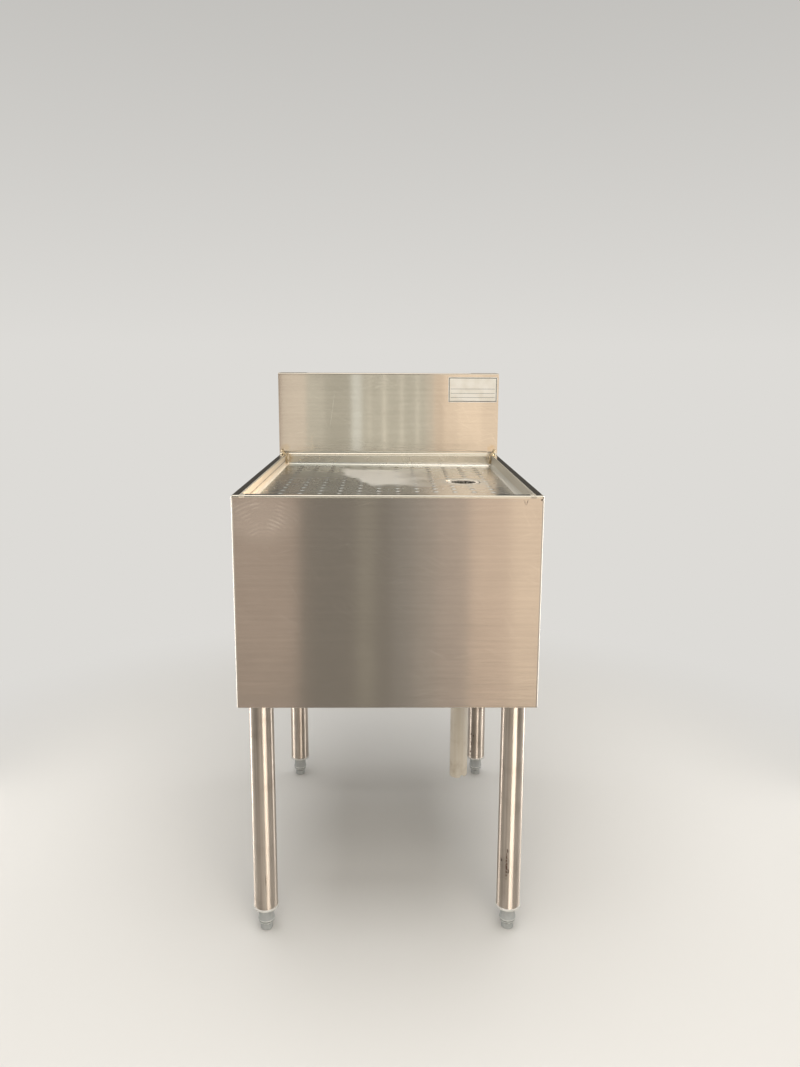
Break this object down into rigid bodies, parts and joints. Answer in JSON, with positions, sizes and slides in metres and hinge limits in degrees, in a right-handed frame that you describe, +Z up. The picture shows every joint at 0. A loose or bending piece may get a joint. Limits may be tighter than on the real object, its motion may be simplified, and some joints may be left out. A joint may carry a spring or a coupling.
{
  "type": "drainboard unit on legs",
  "caption": "Shallow stainless draining tray with dimpled deck, corner drain, tall splash and deep apron, on tubular legs with adjustable bullet feet.",
  "frame": {"origin": "on the floor under the middle of the footprint, feet screwed in", "axes": "+Z up, the apron faces -Y, +X is to the right seen from the front"},
  "size_m": [0.4572, 0.6096, 0.8975],
  "materials": {
    "sheet_steel": "brushed stainless sheet",
    "frame_steel": "mill finish stainless",
    "leg_steel": "polished stainless tube",
    "zinc_steel": "zinc plated steel",
    "grey_plastic": "moulded grey plastic",
    "drain_chrome": "plated",
    "drain_brass": "plain turned brass",
    "black_rubber": "matte",
    "pipe_plastic": "off-white extruded plastic"
  },
  "bodies": {
    "frame": {"drainboard_top": "sheet_steel", "backsplash_shell": "sheet_steel", "backsplash_end_left": "sheet_steel", "backsplash_end_right": "sheet_steel", "front_apron": "sheet_steel", "side_panel_left": "sheet_steel", "side_panel_right": "sheet_steel", "rear_rail": "sheet_steel", "leg_channel_left": "frame_steel", "leg_channel_right": "frame_steel", "leg_gusset_front_left": "frame_steel", "leg_gusset_front_right": "frame_steel", "leg_gusset_rear_left": "frame_steel", "leg_gusset_rear_right": "frame_steel", "leg_tube_front_left": "leg_steel", "leg_tube_front_right": "leg_steel", "leg_tube_rear_left": "leg_steel", "leg_tube_rear_right": "leg_steel", "gusset_washers": "zinc_steel", "gusset_nuts": "zinc_steel", "leg_set_screws": "zinc_steel", "foot_socket_front_left": "grey_plastic", "foot_socket_front_right": "grey_plastic", "foot_socket_rear_left": "grey_plastic", "foot_socket_rear_right": "grey_plastic", "drain_body": "drain_chrome", "drain_locknut": "drain_brass", "drain_gasket": "black_rubber", "drain_washer": "black_rubber", "pipe_adapter": "pipe_plastic", "drain_pipe": "pipe_plastic"},
    "stud_front_left": {"foot_stud_front_left": "zinc_steel"},
    "foot_front_left": {"levelling_foot_front_left": "grey_plastic"},
    "stud_front_right": {"foot_stud_front_right": "zinc_steel"},
    "foot_front_right": {"levelling_foot_front_right": "grey_plastic"},
    "stud_rear_left": {"foot_stud_rear_left": "zinc_steel"},
    "foot_rear_left": {"levelling_foot_rear_left": "grey_plastic"},
    "stud_rear_right": {"foot_stud_rear_right": "zinc_steel"},
    "foot_rear_right": {"levelling_foot_rear_right": "grey_plastic"}
  },
  "joints": [
    {"name": "foot_travel_front_left", "type": "slide", "parent": "frame", "child": "stud_front_left", "axis": [0, 0, -1], "range_m": [0, 0.0245]},
    {"name": "foot_turn_front_left", "type": "hinge", "parent": "stud_front_left", "child": "foot_front_left", "pos_m": [-0.1986, -0.2603, 0.02], "axis": [0, 0, -1], "range_deg": [0, 5041]},
    {"name": "foot_travel_front_right", "type": "slide", "parent": "frame", "child": "stud_front_right", "axis": [0, 0, -1], "range_m": [0, 0.0245]},
    {"name": "foot_turn_front_right", "type": "hinge", "parent": "stud_front_right", "child": "foot_front_right", "pos_m": [0.1986, -0.2603, 0.02], "axis": [0, 0, -1], "range_deg": [0, 5041]},
    {"name": "foot_travel_rear_left", "type": "slide", "parent": "frame", "child": "stud_rear_left", "axis": [0, 0, -1], "range_m": [0, 0.0245]},
    {"name": "foot_turn_rear_left", "type": "hinge", "parent": "stud_rear_left", "child": "foot_rear_left", "pos_m": [-0.1986, 0.2603, 0.02], "axis": [0, 0, -1], "range_deg": [0, 5041]},
    {"name": "foot_travel_rear_right", "type": "slide", "parent": "frame", "child": "stud_rear_right", "axis": [0, 0, -1], "range_m": [0, 0.0245]},
    {"name": "foot_turn_rear_right", "type": "hinge", "parent": "stud_rear_right", "child": "foot_rear_right", "pos_m": [0.1986, 0.2603, 0.02], "axis": [0, 0, -1], "range_deg": [0, 5041]}
  ],
  "couplings": [
    {"joint": "foot_turn_front_left", "follows": "foot_travel_front_left", "rad_per_m": 3590.4},
    {"joint": "foot_turn_front_right", "follows": "foot_travel_front_right", "rad_per_m": 3590.4},
    {"joint": "foot_turn_rear_left", "follows": "foot_travel_rear_left", "rad_per_m": 3590.4},
    {"joint": "foot_turn_rear_right", "follows": "foot_travel_rear_right", "rad_per_m": 3590.4}
  ]
}
